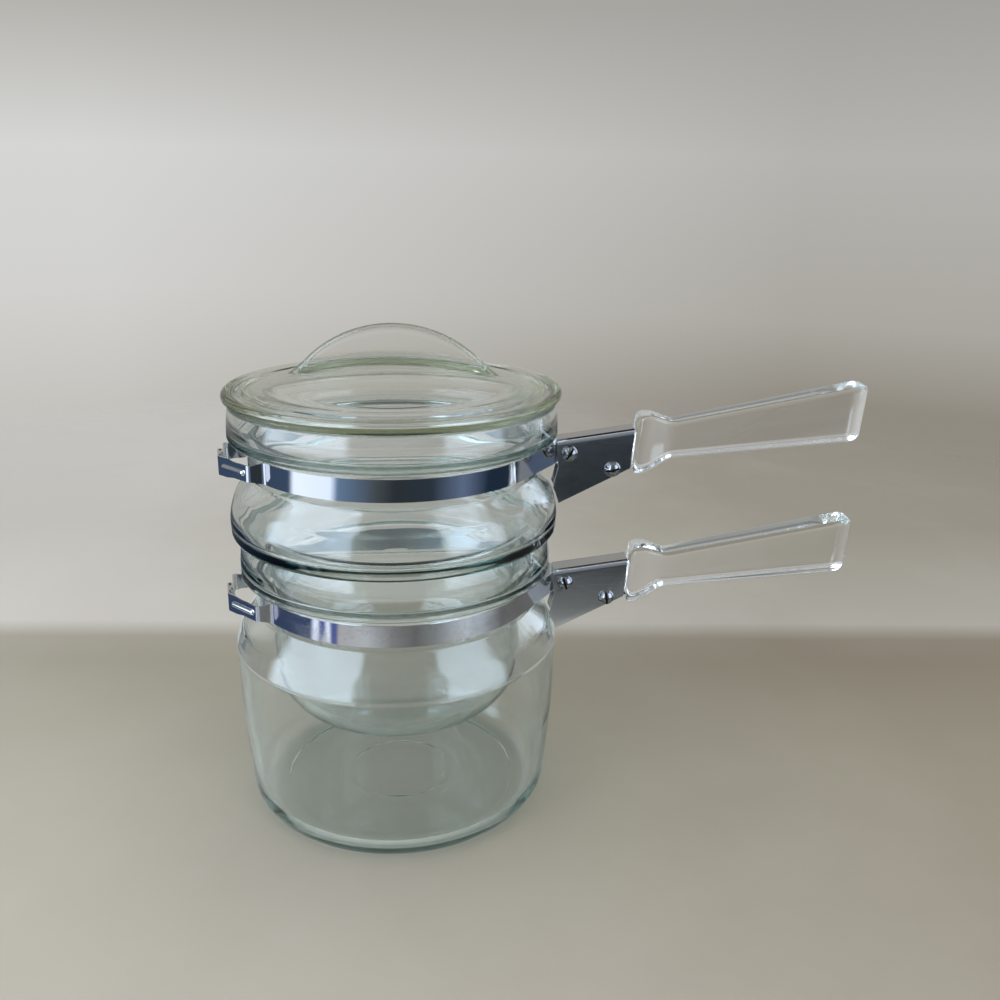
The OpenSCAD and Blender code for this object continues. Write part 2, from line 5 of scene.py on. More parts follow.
import bmesh
import bpy
from mathutils import Matrix, Vector


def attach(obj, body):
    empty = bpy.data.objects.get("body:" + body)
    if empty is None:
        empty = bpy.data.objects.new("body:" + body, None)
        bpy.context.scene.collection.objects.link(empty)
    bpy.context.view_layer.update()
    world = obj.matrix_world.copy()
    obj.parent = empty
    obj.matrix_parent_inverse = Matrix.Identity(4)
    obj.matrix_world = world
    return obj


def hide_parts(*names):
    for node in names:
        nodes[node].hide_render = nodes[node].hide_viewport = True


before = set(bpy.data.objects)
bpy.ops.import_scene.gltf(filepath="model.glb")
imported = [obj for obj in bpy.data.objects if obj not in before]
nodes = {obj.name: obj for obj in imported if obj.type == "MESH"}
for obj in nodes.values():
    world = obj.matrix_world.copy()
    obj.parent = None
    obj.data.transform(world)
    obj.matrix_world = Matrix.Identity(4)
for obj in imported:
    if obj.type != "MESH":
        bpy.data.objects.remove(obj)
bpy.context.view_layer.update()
MM = 0.001

# Sizes in mm: the glass, and the neck and flared rim of both pots
WALL = 3.8
FLOOR = 5.0
NECK = 68.8
NECK_UP = 7.2
NECK_DOWN = 8.6
NECK_STEP = 0.9
FLARE_RISE = 1.8
LIP = 1.3

# Lower pot, with its heel, its shoulder ridge and the rings in its floor
POT_H = 141.6
POT_RIM_R = 75.4
POT_LEAN = 1.7
LOW_BAND_Z = 113.4
HEEL_R = 74.3
HEEL = 13
RIDGE_R = 79.26
RIDGE_Z = 84.5
BODY_Z = RIDGE_Z * 0.57
FLOOR_RING_R = 58.2
FLOOR_RING_DEPTH = 0.45
DISC_RING_R = 26.2
DISC_RING_RISE = 0.3

# Insert pot, with its bowl, the ledge that rests on the lower rim, and its bulge
INSERT_H = 204.6
INSERT_RIM_R = 77.6
INSERT_LEAN = 1.2
UP_BAND_Z = 179.6
LEDGE_Z = POT_H
LEDGE_CORNER = 3.3
BULGE_R = 78.5
BOWL_R = 60
BOWL_Z = 48.6
BOWL_FLOOR = 4.2
BOWL_CURVE = 26

# Lid, with its rim, the plug inside the insert's rim, its dome and its arched fin
LID_R = 79.0
LID_TOP = INSERT_H + 6.2
PLUG_R = 70.6
PLUG_DEPTH = 2.6
DOME_HALF = 65.0
DOME_RISE = 10.4
DOME_TOP = LID_TOP + DOME_RISE
DOME_T = 4.1
DOME_R = (DOME_HALF**2 + DOME_RISE**2) / (2 * DOME_RISE)
FIN_R = 58.0
FIN_TOP = LID_TOP + 28.5
FIN_ARC = 44
FIN_T = 5.4
FIN_EDGE = 2.2
FIN_EDGE_SHARE = 0.4
FIN_SWEEP = 12.5
FIN_FOOT = 2.6
FIN_FOOT_FADE = 1.1

# Brackets and grips, measured from the clamp screw along the tilted bracket
TILT = math.radians(9.1)
LEAN = math.tan(math.radians(13))
CLAMP_X = 83.2
COLLAR_X = 31.9
COLLAR_H = 27.8
COLLAR_W = 16.4
# Places along the collar's rounded face, and what it takes off each side there
COLLAR_EDGE = ((0, 2.2), (0.25, 1.5), (0.7, 0.85), (1.3, 0.35), (2, 0.12))
COLLAR_FLAT = 3
WAIST_X = COLLAR_X + 19.6
WAIST_H = 17.8
WAIST_W = 13
GRIP_END = 141.0
GRIP_GAIN_H = 9.0
GRIP_GAIN_W = 3.4
GRIP_EDGE = 2.3
GRIP_TIP = 6
GRIP_TIP_CUT = (5.2, 3.6)
GRIP_END_CUT = (5.0, 3.3)
GRIP_DROP = 1.4
TONGUE_X = 11.1
TONGUE_END = COLLAR_X + 3
TONGUE_W = 12.2
TONGUE_TOP = 4.7

# Edges in degrees, the widths of broken edges, and the heads of the screws
CREASE = 32.0
SHARP = 40.0
SHEET_EDGE = 0.16
TURNED_EDGE = 0.08
HEAD_DEPTH = 2.6
SLOT_REACH = 3.7
SLOT_DEPTH = 1.2


# Shader helpers
def new_group(name, inputs, outputs):
    """A shader node group with the given sockets and its two end nodes."""
    g = bpy.data.node_groups.new(name, "ShaderNodeTree")
    for label, kind, value in inputs:
        s = g.interface.new_socket(label, in_out="INPUT", socket_type=kind)
        if value is not None:
            s.default_value = value
    for label, kind in outputs:
        g.interface.new_socket(label, in_out="OUTPUT", socket_type=kind)
    return g, g.nodes.new("NodeGroupInput"), g.nodes.new("NodeGroupOutput")


def link(tree, a, b):
    """Joins an output to an input."""
    tree.links.new(a, b)


def maths(tree, op, a, b=None, clamp=False):
    """Result of one step of arithmetic on sockets or numbers."""
    n = tree.nodes.new("ShaderNodeMath")
    n.operation = op
    n.use_clamp = clamp
    for i, v in enumerate((a, b)):
        if v is None:
            continue
        if isinstance(v, (int, float)):
            n.inputs[i].default_value = v
        else:
            link(tree, v, n.inputs[i])
    return n.outputs[0]


def mapped(tree, scale, turn=0.0):
    """The piece's own coordinates, turned about Y and stretched by scale."""
    t = tree.nodes.new("ShaderNodeTexCoord")
    m = tree.nodes.new("ShaderNodeMapping")
    m.inputs["Rotation"].default_value = (0, turn, 0)
    m.inputs["Scale"].default_value = scale
    link(tree, t.outputs["Object"], m.inputs["Vector"])
    return m.outputs["Vector"]


def noise_of(tree, vector, scale, detail=2.0, rough=0.5):
    """Soft noise over a vector, from 0 to 1."""
    n = tree.nodes.new("ShaderNodeTexNoise")
    n.inputs["Scale"].default_value = scale
    n.inputs["Detail"].default_value = detail
    n.inputs["Roughness"].default_value = rough
    link(tree, vector, n.inputs["Vector"])
    return n.outputs["Fac"]


def spread(tree, value, low, high, to_low=0.0, to_high=1.0):
    """Value from low..high spread over to_low..to_high, clamped."""
    n = tree.nodes.new("ShaderNodeMapRange")
    ends = {"From Min": low, "From Max": high, "To Min": to_low, "To Max": to_high}
    for label, v in ends.items():
        n.inputs[label].default_value = v
    link(tree, value, n.inputs["Value"])
    return n.outputs["Result"]


def between(tree, value, low, high, soft):
    """1 where value lies from low to high, with soft ends."""
    up = spread(tree, value, low, low + soft)
    down = spread(tree, value, high - soft, high, 1.0, 0.0)
    return maths(tree, "MULTIPLY", up, down)


def mixed(tree, factor, a, b):
    """Colour a where factor is 0 and b where it is 1."""
    n = tree.nodes.new("ShaderNodeMix")
    n.data_type = "RGBA"
    for slot, v in (("A", a), ("B", b), ("Factor", factor)):
        s = next(x for x in n.inputs if x.name == slot and x.enabled)
        if isinstance(v, tuple):
            s.default_value = (*v, 1.0)
        elif isinstance(v, (int, float)):
            s.default_value = v
        else:
            link(tree, v, s)
    return next(x for x in n.outputs if x.enabled)


def toned(tree, value, stops):
    """Colour ramp over value from 0 to 1."""
    n = tree.nodes.new("ShaderNodeValToRGB")
    ramp = n.color_ramp
    while len(ramp.elements) < len(stops):
        ramp.elements.new(0.5)
    for e, (at, c) in zip(ramp.elements, stops):
        e.position = at
        e.color = (*c, 1)
    link(tree, value, n.inputs[0])
    return n.outputs["Color"]


def deeper(tree, kind, depth):
    """1 for rays that have met more than depth surfaces of a kind on their way."""
    path = tree.nodes.new("ShaderNodeLightPath")
    return maths(tree, "GREATER_THAN", path.outputs[kind + " Depth"], depth)


def bumped(tree, shader, height, distance, strength):
    """Gives a shader a bump of the given height."""
    bump = tree.nodes.new("ShaderNodeBump")
    bump.inputs["Distance"].default_value = distance
    bump.inputs["Strength"].default_value = strength
    link(tree, height, bump.inputs["Height"])
    link(tree, bump.outputs["Normal"], shader.inputs["Normal"])


def opened(tree, shader, out, share, colour):
    """Shows the shader, and lets light straight through in that colour where share is 1."""
    clear = tree.nodes.new("ShaderNodeBsdfTransparent")
    clear.inputs["Color"].default_value = (*colour, 1)
    mix = tree.nodes.new("ShaderNodeMixShader")
    link(tree, share, mix.inputs[0])
    link(tree, shader.outputs[0], mix.inputs[1])
    link(tree, clear.outputs[0], mix.inputs[2])
    link(tree, mix.outputs[0], out.inputs["Surface"])


def new_material(name):
    """A material with its node tree, its main shader and its output."""
    m = bpy.data.materials.new(name)
    m.use_nodes = True
    nt = m.node_tree
    return m, nt, nt.nodes["Principled BSDF"], nt.nodes["Material Output"]


# Materials
def moulded_surface():
    """Soft waves and fine smears of moulded glass that has been used."""
    g, i, o = new_group(
        "moulded_surface",
        [("Wave", "NodeSocketFloat", 1.0), ("Smear", "NodeSocketFloat", 1.0)],
        [("Height", "NodeSocketFloat"), ("Roughness", "NodeSocketFloat")],
    )
    broad = noise_of(g, mapped(g, (1, 1, 1.6)), 22, 1.0)
    fine = noise_of(g, mapped(g, (1, 1, 1)), 130, 2.0)
    height = maths(g, "ADD", broad, maths(g, "MULTIPLY", fine, 0.12))
    link(g, maths(g, "MULTIPLY", height, i.outputs["Wave"]), o.inputs["Height"])
    film = noise_of(g, mapped(g, (1, 1, 0.5)), 38, 4.0, 0.62)
    film = maths(g, "MULTIPLY", spread(g, film, 0.46, 0.74), 0.05)
    link(g, maths(g, "MULTIPLY", film, i.outputs["Smear"]), o.inputs["Roughness"])
    return g


def rolled_metal():
    """Fine rolling lines along the strip, and water marks in rings and clouds."""
    g, i, o = new_group(
        "rolled_metal",
        [
            ("Vector", "NodeSocketVector", None),
            ("Marks", "NodeSocketFloat", 0.3),
            ("Grain", "NodeSocketFloat", 1.0),
            ("Tone", "NodeSocketColor", (0.7, 0.71, 0.73, 1)),
            ("Mark Tone", "NodeSocketColor", (0.47, 0.44, 0.42, 1)),
        ],
        [
            ("Color", "NodeSocketColor"),
            ("Roughness", "NodeSocketFloat"),
            ("Height", "NodeSocketFloat"),
        ],
    )
    grain = noise_of(g, i.outputs["Vector"], 1.0, 3.0, 0.7)
    link(g, maths(g, "MULTIPLY", grain, i.outputs["Grain"]), o.inputs["Height"])
    blot = noise_of(g, mapped(g, (1, 1, 1)), 95, 5.0, 0.65)
    ring = maths(g, "ABSOLUTE", maths(g, "SUBTRACT", blot, 0.55))
    ring = maths(g, "MULTIPLY", spread(g, ring, 0.0, 0.018, 1.0, 0.0), 0.6)
    cloud = spread(g, noise_of(g, mapped(g, (1, 1, 1.4)), 34, 4.0, 0.6), 0.45, 0.72)
    marks = maths(g, "MULTIPLY", maths(g, "MAXIMUM", ring, cloud), i.outputs["Marks"], True)
    link(g, mixed(g, marks, i.outputs["Tone"], i.outputs["Mark Tone"]), o.inputs["Color"])
    rough = maths(g, "ADD", maths(g, "MULTIPLY", grain, 0.06), maths(g, "MULTIPLY", marks, 0.28))
    link(g, rough, o.inputs["Roughness"])
    return g


MOULDED = moulded_surface()
ROLLED = rolled_metal()
GLASS_IOR = 1.474
LAMPLIGHT_THROUGH = (0.965, 0.975, 0.968)
MARK_SHARE = (0.72, 0.68, 0.62)
# Painted shade for the inside of the screw slots
SLOT_SHADE_COLOUR = (0.03, 0.028, 0.026)


def clear_glass(name, tint, edge, absorb, density, wave, smear):
    """Clear moulded glass with painted shade at its grazing edges. Lamps shine through it, and its
    thickness takes up colour.
    """
    m, nt, p, out = new_material(name)
    # Painted shade: where the glass is seen at a grazing angle its tint turns to the darker edge colour
    facing = nt.nodes.new("ShaderNodeLayerWeight")
    facing.inputs["Blend"].default_value = 0.5
    painted_edge_shade = spread(nt, facing.outputs["Facing"], 0.55, 0.97)
    link(nt, mixed(nt, painted_edge_shade, tint, edge), p.inputs["Base Color"])
    p.inputs["Metallic"].default_value = 0.0
    p.inputs["Transmission Weight"].default_value = 1.0
    p.inputs["IOR"].default_value = GLASS_IOR
    g = nt.nodes.new("ShaderNodeGroup")
    g.node_tree = MOULDED
    g.inputs["Wave"].default_value = wave
    g.inputs["Smear"].default_value = smear
    bumped(nt, p, g.outputs["Height"], 0.00014, 1.0)
    link(nt, g.outputs["Roughness"], p.inputs["Roughness"])
    path = nt.nodes.new("ShaderNodeLightPath")
    opened(nt, p, out, path.outputs["Is Shadow Ray"], LAMPLIGHT_THROUGH)
    thickness = nt.nodes.new("ShaderNodeVolumeAbsorption")
    thickness.inputs["Color"].default_value = (*absorb, 1)
    thickness.inputs["Density"].default_value = density
    link(nt, thickness.outputs[0], out.inputs["Volume"])
    return m


def steel(name, tone, grain_scale, grain, marks, rough, turn=0.0):
    """Stainless steel with rolling lines along its strip and painted shade in its screw slots."""
    m, nt, p, _ = new_material(name)
    p.inputs["Metallic"].default_value = 1.0
    g = nt.nodes.new("ShaderNodeGroup")
    g.node_tree = ROLLED
    g.inputs["Marks"].default_value = marks
    g.inputs["Grain"].default_value = grain
    g.inputs["Tone"].default_value = (*tone, 1)
    g.inputs["Mark Tone"].default_value = (*(c * k for c, k in zip(tone, MARK_SHARE)), 1)
    link(nt, mapped(nt, grain_scale, turn), g.inputs["Vector"])
    # Painted shade: faces marked inside a screw slot turn near black and duller
    shade_in_slot = nt.nodes.new("ShaderNodeAttribute")
    shade_in_slot.attribute_name = "painted_slot_shade"
    link(nt, mixed(nt, shade_in_slot.outputs["Fac"], g.outputs["Color"], SLOT_SHADE_COLOUR), p.inputs["Base Color"])
    dull = maths(nt, "MULTIPLY", shade_in_slot.outputs["Fac"], 0.5)
    base = maths(nt, "ADD", g.outputs["Roughness"], rough)
    link(nt, maths(nt, "ADD", base, dull), p.inputs["Roughness"])
    bumped(nt, p, g.outputs["Height"], 0.00002, 0.6)
    return m


# edge is the darker colour painted at each glass's grazing edges, a painted shade
POT_GLASS = clear_glass(
    "pot_glass",
    tint=(0.985, 0.99, 0.988),
    edge=(0.6, 0.66, 0.66),
    absorb=(0.5, 0.66, 0.62),
    density=23,
    wave=1.0,
    smear=1.0,
)
LID_GLASS = clear_glass(
    "lid_glass",
    tint=(0.99, 0.99, 0.985),
    edge=(0.97, 0.98, 0.9),
    absorb=(0.65, 0.69, 0.52),
    density=24,
    wave=0.35,
    smear=0.4,
)
GRIP_GLASS = clear_glass(
    "grip_glass",
    tint=(0.99, 0.99, 0.99),
    edge=(0.9, 0.92, 0.92),
    absorb=(0.8, 0.86, 0.85),
    density=4,
    wave=0.5,
    smear=0.5,
)
BAND_TONE = (0.72, 0.73, 0.75)
BRACKET_TONE = (0.56, 0.57, 0.585)
SCREW_TONE = (0.24, 0.24, 0.25)
STRIP_GRAIN = (14, 14, 1500)
SHEET_GRAIN = (60, 300, 900)
TURNED_GRAIN = (500, 500, 500)
BAND_UPPER = steel("upper_band_steel", BAND_TONE, STRIP_GRAIN, grain=0.5, marks=0.12, rough=0.03)
BAND_LOWER = steel("lower_band_steel", BAND_TONE, STRIP_GRAIN, grain=0.6, marks=0.6, rough=0.03)
BRACKET = steel("bracket_steel", BRACKET_TONE, SHEET_GRAIN, grain=0.6, marks=0.25, rough=0.09, turn=TILT)
SCREW = steel("screw_steel", SCREW_TONE, TURNED_GRAIN, grain=0.4, marks=0.4, rough=0.14)


# Mesh helpers
def placed(name, bm, material=None):
    """An object in the scene made of bm, which is used up."""
    mesh = bpy.data.meshes.new(name)
    bm.to_mesh(mesh)
    bm.free()
    o = bpy.data.objects.new(name, mesh)
    bpy.context.scene.collection.objects.link(o)
    if material:
        mesh.materials.append(material)
    return o


def finish_piece(name, bm, material, body, node):
    """Makes an object of bm that stands for a CAD node and rides on its body."""
    bmesh.ops.recalc_face_normals(bm, faces=bm.faces)
    o = placed(name, bm, material)
    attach(o, body)
    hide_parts(node)
    return o


def unit(v):
    """The vector at length 1."""
    return v / math.hypot(v.x, v.y)


def rounded(points, step=4.0):
    """Outline of [radius, height, rounding] points with its corners turned to arcs."""
    out = []
    for k, (r, z, rad) in enumerate(points):
        if not rad:
            out.append((r, z))
            continue
        b = Vector((r, z))
        u = unit(Vector(points[k - 1][:2]) - b)
        v = unit(Vector(points[k + 1][:2]) - b)
        half = math.acos(max(-1, min(1, u.dot(v)))) / 2
        m = b + unit(u + v) * rad / math.sin(half)
        s = b + u * rad / math.tan(half)
        e = b + v * rad / math.tan(half)
        a0 = math.atan2(s.y - m.y, s.x - m.x)
        da = math.atan2(e.y - m.y, e.x - m.x) - a0
        da -= 2 * math.pi * round(da / (2 * math.pi))
        n = max(2, math.ceil(abs(math.degrees(da)) / step))
        for i in range(n + 1):
            a = a0 + da * i / n
            out.append((m.x + rad * math.cos(a), m.y + rad * math.sin(a)))
    return out


def filled(outline, longest=4.0):
    """The same outline with long straight stretches divided."""
    out = []
    for (r0, z0), (r1, z1) in zip(outline, outline[1:]):
        n = max(1, math.ceil(math.hypot(r1 - r0, z1 - z0) / longest))
        out += [(r0 + (r1 - r0) * i / n, z0 + (z1 - z0) * i / n) for i in range(n)]
    return out + [outline[-1]]


def spun(outline, steps=160):
    """Closed outline turned about the pot axis."""
    bm = bmesh.new()
    ring = [bm.verts.new((r * MM, 0, z * MM)) for r, z in outline]
    edges = [bm.edges.new(pair) for pair in zip(ring, ring[1:])]
    bmesh.ops.spin(
        bm,
        geom=ring + edges,
        cent=(0, 0, 0),
        axis=(0, 0, 1),
        angle=2 * math.pi,
        steps=steps,
        use_merge=True,
    )
    bmesh.ops.remove_doubles(bm, verts=bm.verts, dist=0.00002)
    for f in bm.faces:
        f.smooth = True
    return bm


def skinned(rings):
    """Closed skin through rings of points in metres, capped at both ends."""
    bm = bmesh.new()
    rows = []
    for points in rings:
        ring = [bm.verts.new(p) for p in points]
        rows.append([bm.edges.new(pair) for pair in zip(ring, ring[1:] + ring[:1])])
    for one, two in zip(rows, rows[1:]):
        bmesh.ops.bridge_loops(bm, edges=one + two)
    for row in (rows[0], rows[-1]):
        bmesh.ops.contextual_create(bm, geom=row)
    bmesh.ops.recalc_face_normals(bm, faces=bm.faces)
    return bm


def joined(one, two):
    """Union of two closed meshes."""
    objects = []
    for k, bm in enumerate((one, two)):
        bmesh.ops.recalc_face_normals(bm, faces=bm.faces)
        objects.append(placed(f"part_{k}", bm))
    union = objects[0].modifiers.new("union", "BOOLEAN")
    union.operation = "UNION"
    union.solver = "EXACT"
    union.object = objects[1]
    graph = bpy.context.evaluated_depsgraph_get()
    bm = bmesh.new()
    bm.from_object(objects[0], graph)
    for o in objects:
        mesh = o.data
        bpy.data.objects.remove(o)
        bpy.data.meshes.remove(mesh)
    bmesh.ops.remove_doubles(bm, verts=bm.verts, dist=0.00001)
    return bm


def creased(bm):
    """Shades smooth, but keeps edges that turn more than CREASE degrees crisp."""
    bm.normal_update()
    for f in bm.faces:
        f.smooth = True
    for e in bm.edges:
        e.smooth = len(e.link_faces) == 2 and math.degrees(e.calc_face_angle(0)) < CREASE
    return bm


def ease(t):
    """Smooth step from 0 to 1."""
    u = min(1.0, max(0.0, t))
    return u * u * (3 - 2 * u)


# Pots
def neck_out(band_z, top, rim_r, lean):
    """Outside of a neck from below: a fine step, the groove of the band and the flared rim."""
    groove_top = band_z + NECK_UP
    return [
        (NECK + NECK_STEP, band_z - NECK_DOWN - 0.4, 0.5),
        (NECK, band_z - NECK_DOWN + 0.7, 0.4),
        (NECK, groove_top, 0.9),
        (rim_r, groove_top + FLARE_RISE, 2.0),
        (rim_r - 0.2, (groove_top + top) / 2, 60),
        (rim_r - lean, top, LIP),
    ]


def neck_in(band_z, top, rim_r, lean):
    """Inside of the same neck, from above."""
    groove_top = band_z + NECK_UP
    return [
        (rim_r - lean - WALL, top, LIP),
        (rim_r - WALL - 0.1, (groove_top + top) / 2 + 1.4, 18),
        (rim_r - WALL - 0.7, groove_top + 4.6, 2.2),
        (NECK - WALL, groove_top + 2.4, 2.6),
        (NECK - WALL, band_z - NECK_DOWN - 1.6, 3.2),
    ]


def floor_rings():
    """The fine groove in the pot's floor and the low ring inside it, from the wall inwards."""
    disc_ring_top = FLOOR + DISC_RING_RISE
    return [
        (FLOOR_RING_R + 0.6, FLOOR, 0.6),
        (FLOOR_RING_R, FLOOR - FLOOR_RING_DEPTH, 0.4),
        (FLOOR_RING_R - 0.9, FLOOR - 0.3, 0.4),
        (FLOOR_RING_R - 2.7, FLOOR, 2),
        (DISC_RING_R + 1.1, FLOOR, 0.8),
        (DISC_RING_R + 0.3, disc_ring_top, 0.8),
        (DISC_RING_R - 0.3, disc_ring_top, 0.8),
        (DISC_RING_R - 1.1, FLOOR, 0.8),
    ]


def pot_outline():
    """Section of the lower pot: up the outside, over the rim and down the inside."""
    neck = (LOW_BAND_Z, POT_H, POT_RIM_R, POT_LEAN)
    outside = [
        (0, 0, 0),
        (HEEL_R, 0, HEEL),
        (RIDGE_R - 0.7, BODY_Z, 240),
        (RIDGE_R, RIDGE_Z + 1.8, 2.4),
        (RIDGE_R - 3, RIDGE_Z + 10.5, 13),
    ]
    inside = [
        (RIDGE_R - 3.4 - WALL, RIDGE_Z + 9, 10),
        (RIDGE_R - WALL - 0.1, RIDGE_Z - 1, 5),
        (RIDGE_R - 0.7 - WALL, BODY_Z, 230),
        (HEEL_R - 3.6, FLOOR, HEEL - 1.7),
    ]
    rim = neck_out(*neck) + neck_in(*neck)
    return filled(rounded(outside + rim + inside + floor_rings() + [(0, FLOOR, 0)]))


def insert_outline():
    """Section of the insert: bowl, ledge, bulge and neck, then down the inside."""
    neck = (UP_BAND_Z, INSERT_H, INSERT_RIM_R, INSERT_LEAN)
    inside_z = BOWL_Z + BOWL_FLOOR
    outside = [
        (0, BOWL_Z, 0),
        (BOWL_R, BOWL_Z, BOWL_CURVE),
        (BOWL_R + 1.4, LEDGE_Z, 4.6),
        (BULGE_R - 0.5, LEDGE_Z, LEDGE_CORNER),
        (BULGE_R, LEDGE_Z + 11, 26),
        (BULGE_R - 2.9, LEDGE_Z + 20, 12),
    ]
    inside = [
        (BULGE_R - 3.3 - WALL, LEDGE_Z + 19, 9),
        (BULGE_R - WALL - 0.1, LEDGE_Z + 11, 13),
        (BULGE_R - WALL - 0.6, LEDGE_Z + WALL, 3.6),
        (BOWL_R + 1.5 - WALL, LEDGE_Z + WALL, 7.6),
        (BOWL_R - WALL, inside_z, BOWL_CURVE - WALL),
        (0, inside_z, 0),
    ]
    return filled(rounded(outside + neck_out(*neck) + neck_in(*neck) + inside))


# Lid
def dome_z(x):
    """Height of the dome's top at a distance from the axis."""
    return DOME_TOP - DOME_R + math.sqrt(DOME_R**2 - x * x)


def dome_arc(drop, to, n):
    """Arc of the dome from the axis outwards, drop below its top."""
    half = math.asin(to / DOME_R)
    r = DOME_R - drop
    angles = [half * i / n for i in range(n + 1)]
    return [(r * math.sin(a), DOME_TOP - DOME_R + r * math.cos(a)) for a in angles]


def lid_outline():
    """Section of the lid: dome, fluted flange, rim, plug and the underside of the dome."""
    seat = INSERT_H
    rim = rounded(
        [
            (DOME_HALF - 2, dome_z(DOME_HALF - 2), 0),
            (DOME_HALF + 1.2, LID_TOP - 0.9, 1.8),
            (DOME_HALF + 3.8, LID_TOP + 0.1, 1.4),
            (DOME_HALF + 6, LID_TOP - 0.7, 1.4),
            (DOME_HALF + 8.4, LID_TOP, 1.6),
            (LID_R, LID_TOP, 2.6),
            (LID_R, LID_TOP - 3.4, 2.0),
            (LID_R - 3.6, seat, 2.2),
            (PLUG_R, seat, 0),
            (PLUG_R, seat - PLUG_DEPTH, 1),
            (PLUG_R - 3, seat - PLUG_DEPTH, 1.2),
            (PLUG_R - 4.2, seat + 1.4, 1.6),
            (DOME_HALF - 5.5, dome_z(DOME_HALF - 5.5) - DOME_T, 0),
        ]
    )
    top = dome_arc(0, DOME_HALF - 2, 24)
    underside = dome_arc(DOME_T, DOME_HALF - 6.5, 20)[::-1]
    return filled(top + rim[1:] + underside)


def fin_outline():
    """Half of the fin's edge from the top down to where it meets the dome, as x and z."""
    mid = FIN_TOP - FIN_R
    arc = [math.radians(a) for a in range(0, FIN_ARC + 1, 2)]
    points = [(FIN_R * math.sin(a), mid + FIN_R * math.cos(a)) for a in arc]
    x0, z0 = points[-1]
    x1 = x0 + FIN_SWEEP
    z1 = dome_z(x1) - 0.5
    # Rise of the cubic foot at its two ends: the slope of the arc and about that of the dome
    rise0 = -math.tan(math.radians(FIN_ARC)) * FIN_SWEEP
    rise1 = (dome_z(x1 + 0.5) - dome_z(x1 - 0.5)) * 1.05 * FIN_SWEEP
    for i in range(1, 11):
        t = i / 10
        h = (2 * t**3 - 3 * t**2 + 1, t**3 - 2 * t**2 + t, -2 * t**3 + 3 * t**2, t**3 - t**2)
        points.append((x0 + FIN_SWEEP * t, h[0] * z0 + h[1] * rise0 + h[2] * z1 + h[3] * rise1))
    return points


def fin_ring(edge, k, steps=20):
    """Points round the fin at one place of its edge: up one side, over the edge and down."""
    x, z = edge[k]
    before = edge[max(0, k - 1)]
    after = edge[min(len(edge) - 1, k + 1)]
    along = Vector((after[0] - before[0], after[1] - before[1])).normalized()
    outward = Vector((-along.y, along.x))
    base = dome_z(x) - DOME_T / 2
    most = max(z - base, 0.8) * 0.7
    ring = []
    for j in range(-steps, steps + 1):
        t = abs(j) / steps
        if t <= FIN_EDGE_SHARE:
            turn = math.radians(90 * t / FIN_EDGE_SHARE)
            drop = FIN_EDGE * (1 - math.cos(turn))
            half = FIN_T / 2 * math.sin(turn)
            at = Vector((x, z)) - outward * min(drop, most)
        else:
            u = (t - FIN_EDGE_SHARE) / (1 - FIN_EDGE_SHARE)
            web = Vector((x, z)) - outward * min(FIN_EDGE, most)
            at = Vector((web.x, web.y + (base - web.y) * u))
            rise = max(0.0, at.y - dome_z(at.x))
            half = FIN_T / 2 * 0.97 + FIN_FOOT * math.exp(-rise / FIN_FOOT_FADE)
        side = (j > 0) - (j < 0)
        ring.append((at.x * MM, side * half * MM, at.y * MM))
    return ring


def fin_mesh():
    """Thin arched web with a rounded edge, wider where it grows out of the dome."""
    half = fin_outline()
    edge = [(-x, z) for x, z in half[:0:-1]] + half
    return skinned([fin_ring(edge, k) for k in range(len(edge))])


# Grips
def on_bracket(x, y, z, band_z):
    """Point of the tilted bracket's own frame, in metres of the object's frame."""
    c, s = math.cos(TILT), math.sin(TILT)
    return ((CLAMP_X + x * c - z * s) * MM, y * MM, (band_z + x * s + z * c) * MM)


def grip_stations():
    """Places along the grip, with what its rounded ends take off half its width and height."""
    neck_x = COLLAR_X + COLLAR_FLAT
    tip_x = GRIP_END - GRIP_TIP
    stations = [(COLLAR_X + d, cut, cut) for d, cut in COLLAR_EDGE]
    stations += [(neck_x + i * (WAIST_X - neck_x) / 16, 0, 0) for i in range(17)]
    stations += [(WAIST_X + i * (tip_x - WAIST_X) / 12, 0, 0) for i in range(1, 13)]
    for i in range(1, 9):
        a = math.radians(10 * i)
        b = math.radians(10 * i - 10)
        x = tip_x + GRIP_TIP * math.sin(a)
        cut_y, cut_z = GRIP_TIP_CUT
        stations.append((x, cut_y * (1 - math.cos(a)), cut_z * (1 - math.cos(b))))
    return stations + [(GRIP_END, *GRIP_END_CUT)]


def grip_size(x):
    """Height and width of the grip: from the collar down to the waist, then growing to the end."""
    if x < WAIST_X:
        # The height narrows from 4 to 19 mm past the collar's face, the width from 3 to 19
        past = x - COLLAR_X
        h = COLLAR_H + (WAIST_H - COLLAR_H) * ease((past - 4) / 15)
        w = COLLAR_W + (WAIST_W - COLLAR_W) * ease((past - 3) / 16)
        return h, w
    t = (x - WAIST_X) / (GRIP_END - WAIST_X)
    return WAIST_H + GRIP_GAIN_H * t, WAIST_W + GRIP_GAIN_W * t


def grip_ring(x, cut_y, cut_z, band_z):
    """Rounded rectangle round the grip at one place."""
    h, w = grip_size(x)
    h, w = h / 2 - cut_z, w / 2 - cut_y
    r = min(GRIP_EDGE, w - 0.4)
    ring = []
    for sy, sz, start in ((1, 1, 0), (-1, 1, 90), (-1, -1, 180), (1, -1, 270)):
        for i in range(9):
            a = math.radians(start + 90 * i / 8)
            y = sy * (w - r) + r * math.cos(a)
            z = sz * (h - r) + r * math.sin(a) - GRIP_DROP
            ring.append(on_bracket(x + z * LEAN, y, z, band_z))
    return ring


def grip_mesh(band_z):
    """Solid glass grip: flat sides, rounded edges, a flared collar and a blunt rounded end."""
    return skinned([grip_ring(*station, band_z) for station in grip_stations()])


